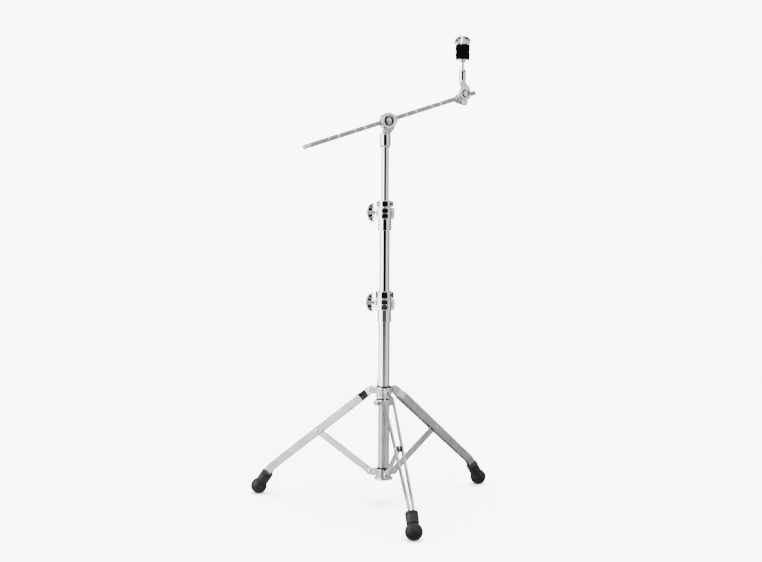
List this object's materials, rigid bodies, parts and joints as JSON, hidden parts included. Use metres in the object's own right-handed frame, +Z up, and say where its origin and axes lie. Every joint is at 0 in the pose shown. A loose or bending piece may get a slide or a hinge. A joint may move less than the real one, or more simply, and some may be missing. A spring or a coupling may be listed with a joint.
{
  "type": "cymbal boom stand",
  "caption": "Folding double-braced tripod stand with telescoping stages, a tilting boom and a cymbal tilter with felts and a wing nut.",
  "frame": {"origin": "the middle of the footprint's box, on the floor", "axes": "+Z is up along the mast, the front foot points along -Y, and the boom's raised end is towards +X"},
  "size_m": [0.6422, 0.5619, 1.1975],
  "materials": {
    "chrome": "bright chrome plate on drawn tube and turned pieces",
    "cast_chrome": "chrome plate on die castings, a little softer",
    "strip_steel": "chrome plate on rolled strip, satin from the rolling",
    "knurled_steel": "fine knurl, satin",
    "black_steel": "blackened steel",
    "black_nylon": "black moulded nylon",
    "black_rubber": "matt charcoal rubber",
    "black_felt": "pressed wool felt"
  },
  "bodies": {
    "base": {"base_tube": "chrome", "lower_hub": "cast_chrome", "lower_hub_liner": "black_nylon", "lower_hub_screw": "black_steel", "brace_pin_1": "chrome", "brace_pin_2": "chrome", "brace_pin_3": "chrome", "lower_clamp_body": "cast_chrome", "lower_clamp_bushing": "black_nylon"},
    "leg_hub": {"upper_hub": "cast_chrome", "upper_hub_liner": "black_nylon", "leg_lock_ring": "cast_chrome", "leg_lock_bolt": "black_steel", "leg_pin_1": "chrome", "leg_pin_2": "chrome", "leg_pin_3": "chrome"},
    "leg_1": {"leg_1_strip_left": "strip_steel", "leg_1_strip_right": "strip_steel", "leg_1_foot": "black_rubber", "leg_1_brace_bushing_left": "black_nylon", "leg_1_brace_bushing_right": "black_nylon"},
    "leg_2": {"leg_2_strip_left": "strip_steel", "leg_2_strip_right": "strip_steel", "leg_2_foot": "black_rubber", "leg_2_brace_bushing_left": "black_nylon", "leg_2_brace_bushing_right": "black_nylon"},
    "leg_3": {"leg_3_strip_left": "strip_steel", "leg_3_strip_right": "strip_steel", "leg_3_foot": "black_rubber", "leg_3_brace_bushing_left": "black_nylon", "leg_3_brace_bushing_right": "black_nylon"},
    "brace_arm_1": {"brace_1": "strip_steel"},
    "brace_arm_2": {"brace_2": "strip_steel"},
    "brace_arm_3": {"brace_3": "strip_steel"},
    "lower_lock": {"lower_memory_lock": "cast_chrome", "lower_lock_key_bolt": "black_steel"},
    "middle": {"middle_tube": "chrome", "upper_clamp_body": "cast_chrome", "upper_clamp_bushing": "black_nylon"},
    "upper_lock": {"upper_memory_lock": "cast_chrome", "upper_lock_key_bolt": "black_steel"},
    "upper": {"upper_tube": "chrome", "boom_tilter_casting": "cast_chrome"},
    "holder": {"boom_holder": "cast_chrome", "holder_cap_nut": "chrome"},
    "boom": {"boom_arm": "knurled_steel", "boom_end_cap": "chrome"},
    "tilter_base": {"cymbal_tilter_base": "cast_chrome", "base_key_screw": "black_steel"},
    "cymbal_post": {"cymbal_tilter_neck": "cast_chrome", "cymbal_rod": "chrome", "cup_washer": "chrome", "cymbal_sleeve": "black_nylon", "felt_lower": "black_felt"},
    "seat_top": {"felt_upper": "black_felt"},
    "wing_nut": {"cymbal_wing_nut": "chrome"},
    "lower_wing": {"lower_wing_bolt": "chrome"},
    "upper_wing": {"upper_wing_bolt": "chrome"},
    "boom_wing": {"boom_wing_bolt": "chrome"},
    "tilter_wing": {"tilter_wing_bolt": "chrome"}
  },
  "joints": [
    {"name": "tripod_fold", "type": "slide", "parent": "base", "child": "leg_hub", "axis": [0, 0, 1], "range_m": [0, 0.14495]},
    {"name": "leg_1_hinge", "type": "hinge", "parent": "leg_hub", "child": "leg_1", "pos_m": [0, 0.05016, 0.2924], "axis": [1, 0, 0], "range_deg": [-0.05, 47.45]},
    {"name": "leg_2_hinge", "type": "hinge", "parent": "leg_hub", "child": "leg_2", "pos_m": [0.03161, 0.10491, 0.2924], "axis": [-0.5, 0.866, 0], "range_deg": [-0.05, 47.45]},
    {"name": "leg_3_hinge", "type": "hinge", "parent": "leg_hub", "child": "leg_3", "pos_m": [-0.03161, 0.10491, 0.2924], "axis": [-0.5, -0.866, 0], "range_deg": [-0.05, 47.45]},
    {"name": "brace_1_hinge", "type": "hinge", "parent": "base", "child": "brace_arm_1", "pos_m": [0, 0.05116, 0.0823], "axis": [-1, 0, 0], "range_deg": [-0.05, 51.82]},
    {"name": "brace_2_hinge", "type": "hinge", "parent": "base", "child": "brace_arm_2", "pos_m": [0.03074, 0.10441, 0.0823], "axis": [0.5, -0.866, 0], "range_deg": [-0.05, 51.82]},
    {"name": "brace_3_hinge", "type": "hinge", "parent": "base", "child": "brace_arm_3", "pos_m": [-0.03074, 0.10441, 0.0823], "axis": [0.5, 0.866, 0], "range_deg": [-0.05, 51.82]},
    {"name": "middle_height", "type": "slide", "parent": "base", "child": "lower_lock", "axis": [0, 0, 1], "range_m": [0, 0.28]},
    {"name": "middle_swivel", "type": "hinge", "parent": "lower_lock", "child": "middle", "pos_m": [0, 0.08666, 0.5361], "axis": [0, 0, 1], "continuous": true},
    {"name": "upper_height", "type": "slide", "parent": "middle", "child": "upper_lock", "axis": [0, 0, 1], "range_m": [0, 0.22]},
    {"name": "upper_swivel", "type": "hinge", "parent": "upper_lock", "child": "upper", "pos_m": [0, 0.08666, 0.7656], "axis": [0, 0, 1], "continuous": true},
    {"name": "boom_tilt", "type": "hinge", "parent": "upper", "child": "holder", "pos_m": [0, 0.08666, 0.9725], "axis": [0.2639, -0.9646, 0], "range_deg": [-52, 36]},
    {"name": "boom_slide", "type": "slide", "parent": "holder", "child": "boom", "axis": [0.9209, 0.2519, 0.2974], "range_m": [-0.165, 0.19]},
    {"name": "tilter_roll", "type": "hinge", "parent": "boom", "child": "tilter_base", "pos_m": [0.21413, 0.14524, 1.04164], "axis": [0.9209, 0.2519, 0.2974], "range_deg": [-90, 90]},
    {"name": "cymbal_tilt", "type": "hinge", "parent": "tilter_base", "child": "cymbal_post", "pos_m": [0.21413, 0.14524, 1.04845], "axis": [0.2639, -0.9646, 0], "range_deg": [-40, 60]},
    {"name": "felt_lift", "type": "slide", "parent": "cymbal_post", "child": "seat_top", "axis": [0, 0, 1], "range_m": [0, 0.05]},
    {"name": "wing_nut_turn", "type": "hinge", "parent": "seat_top", "child": "wing_nut", "pos_m": [0.21413, 0.14524, 1.185], "axis": [0, 0, 1], "continuous": true},
    {"name": "lower_wing_bolt_turn", "type": "hinge", "parent": "base", "child": "lower_wing", "pos_m": [-0.01547, 0.08987, 0.517], "axis": [-0.9792, 0.2028, 0], "continuous": true},
    {"name": "upper_wing_bolt_turn", "type": "hinge", "parent": "middle", "child": "upper_wing", "pos_m": [-0.01253, 0.08926, 0.744], "axis": [-0.9792, 0.2028, 0], "continuous": true},
    {"name": "boom_wing_bolt_turn", "type": "hinge", "parent": "holder", "child": "boom_wing", "pos_m": [-0.00169, 0.09283, 0.9725], "axis": [-0.2639, 0.9646, 0], "continuous": true},
    {"name": "tilter_wing_bolt_turn", "type": "hinge", "parent": "tilter_base", "child": "tilter_wing", "pos_m": [0.22056, 0.13694, 1.02876], "axis": [-0.2639, 0.9646, 0], "continuous": true}
  ],
  "couplings": [
    {"joint": "leg_1_hinge", "follows": "tripod_fold", "rad_per_m": 5.7074},
    {"joint": "leg_2_hinge", "follows": "tripod_fold", "rad_per_m": 5.7074},
    {"joint": "leg_3_hinge", "follows": "tripod_fold", "rad_per_m": 5.7074},
    {"joint": "brace_1_hinge", "follows": "tripod_fold", "rad_per_m": 6.2336},
    {"joint": "brace_2_hinge", "follows": "tripod_fold", "rad_per_m": 6.2336},
    {"joint": "brace_3_hinge", "follows": "tripod_fold", "rad_per_m": 6.2336}
  ]
}
